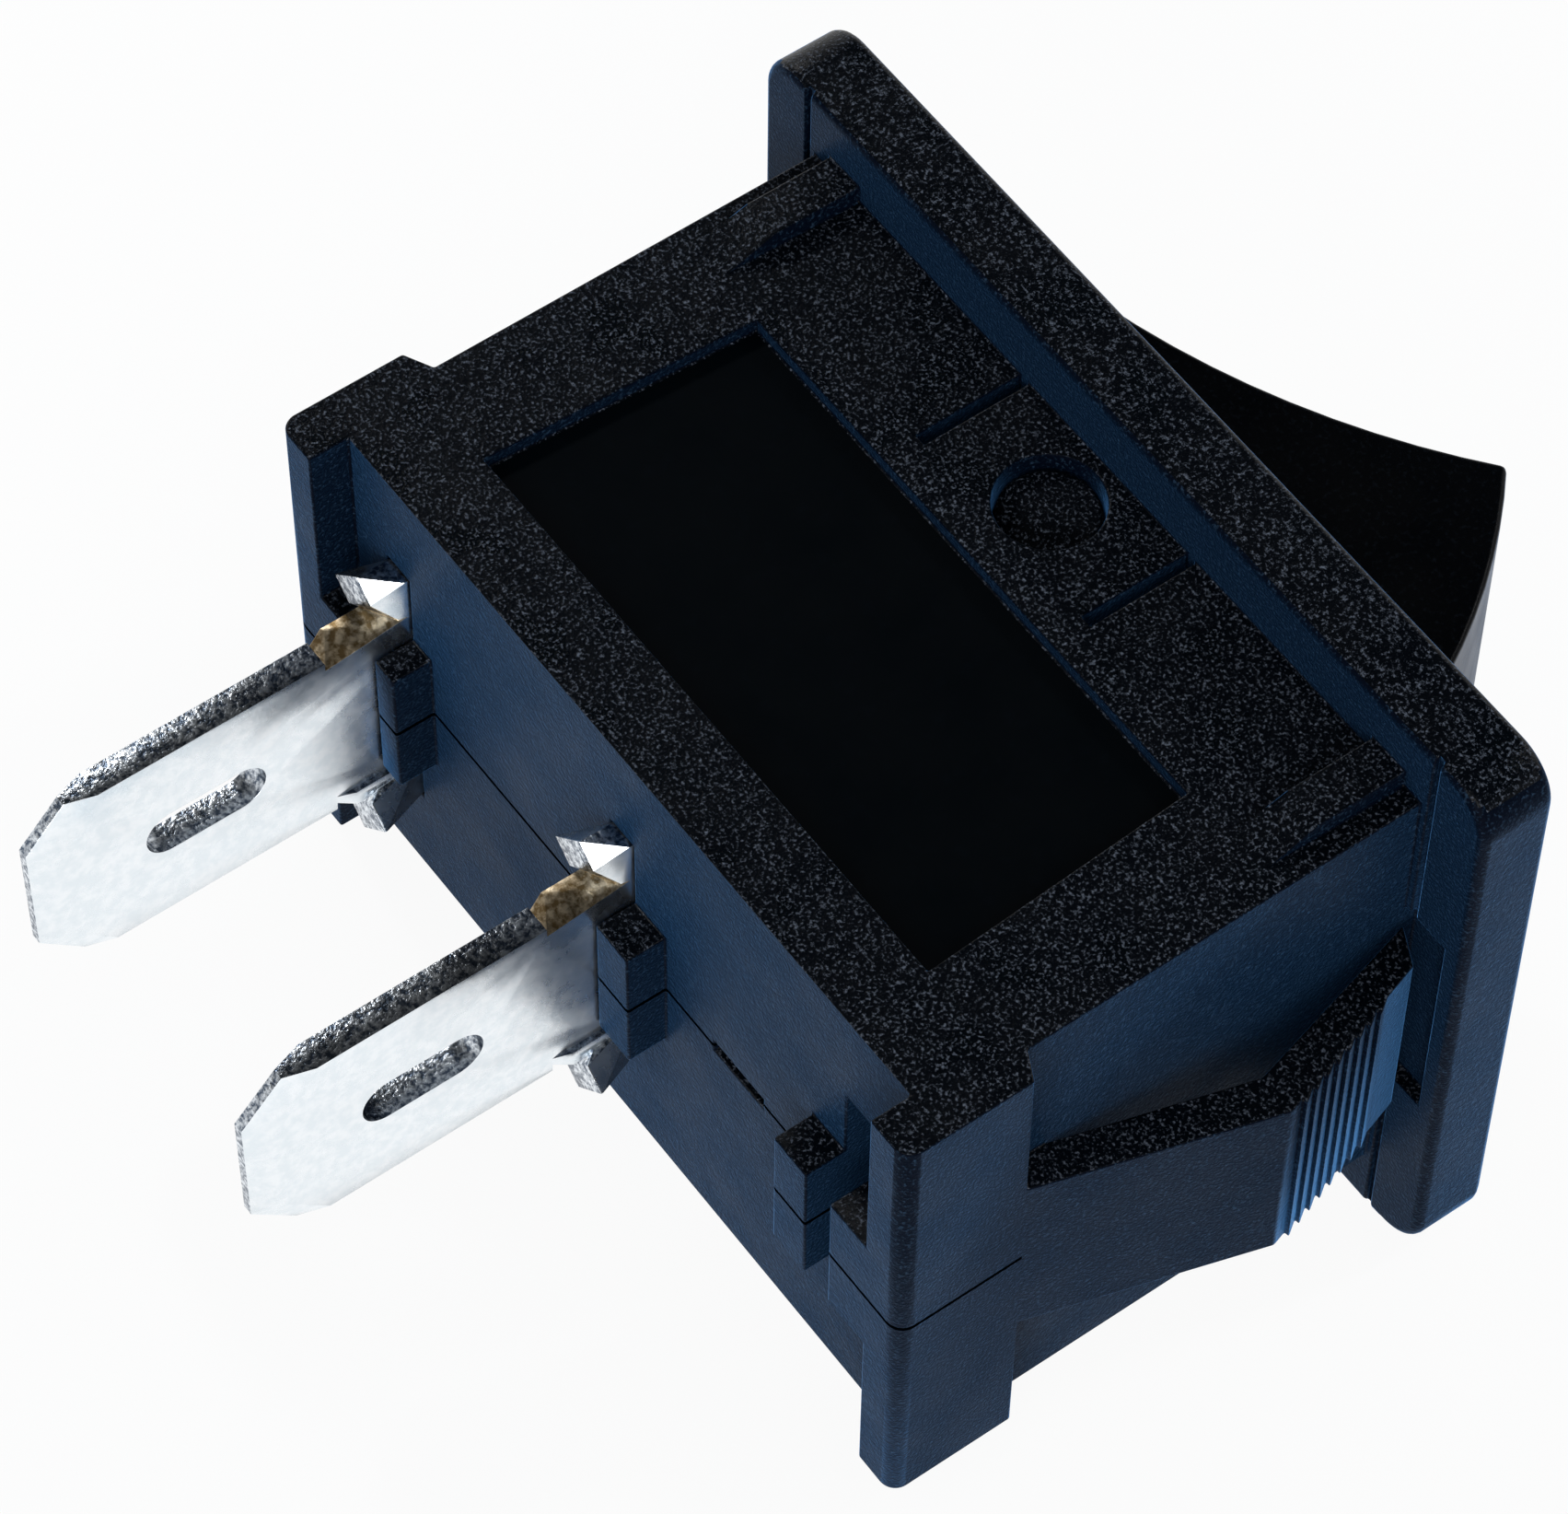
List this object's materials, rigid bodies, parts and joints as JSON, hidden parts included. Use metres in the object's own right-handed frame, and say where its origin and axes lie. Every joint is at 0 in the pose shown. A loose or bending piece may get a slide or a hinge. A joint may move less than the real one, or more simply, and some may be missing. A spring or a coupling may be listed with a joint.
{
  "type": "panel rocker switch",
  "caption": "Snap-in panel rocker switch: flanged black housing with spring arms, dished rocker, see-saw contact lever and flat push-on tabs.",
  "frame": {"origin": "centre of the panel cut-out, in the plane of the flange's back face", "axes": "+Y out of the panel's front through the rocker, +X along the flange to the raised end of the rocker at rest, +Z out of the side with the shallow recess"},
  "size_m": [0.0218, 0.0253, 0.015],
  "materials": {
    "housing_plastic": "fine satin grain, black",
    "rocker_plastic": "smooth satin, black",
    "spring_steel": "drawn wire",
    "plunger_plastic": "natural white nylon-like",
    "lever_brass": "stamped strip",
    "contact_silver": "silver-faced contact",
    "plated_brass": "tin-plated brass, bright, brass at sheared edges"
  },
  "bodies": {
    "base": {"housing": "housing_plastic", "fixed_contact": "contact_silver", "tab_end": "plated_brass", "tab_common": "plated_brass"},
    "rocker": {"rocker": "rocker_plastic", "spring": "spring_steel"},
    "plunger": {"plunger": "plunger_plastic"},
    "lever": {"contact_lever": "lever_brass", "moving_contact": "contact_silver"}
  },
  "joints": [
    {"name": "rocker_pivot", "type": "hinge", "parent": "base", "child": "rocker", "pos_m": [0, -0.0013, 0], "axis": [0, 0, 1], "range_deg": [-40, 0]},
    {"name": "plunger_slide", "type": "slide", "parent": "rocker", "child": "plunger", "axis": [-0.342, 0.9397, 0], "range_m": [0, 0.0006], "stiffness_N_per_m": 200, "springref_m": -0.002, "deforming": ["spring"]},
    {"name": "lever_rock", "type": "hinge", "parent": "base", "child": "lever", "pos_m": [0, -0.008, 0], "axis": [0, 0, 1], "range_deg": [0, 20]}
  ],
  "couplings": [
    {"joint": "lever_rock", "follows": "rocker_pivot", "ratio": -0.5}
  ]
}
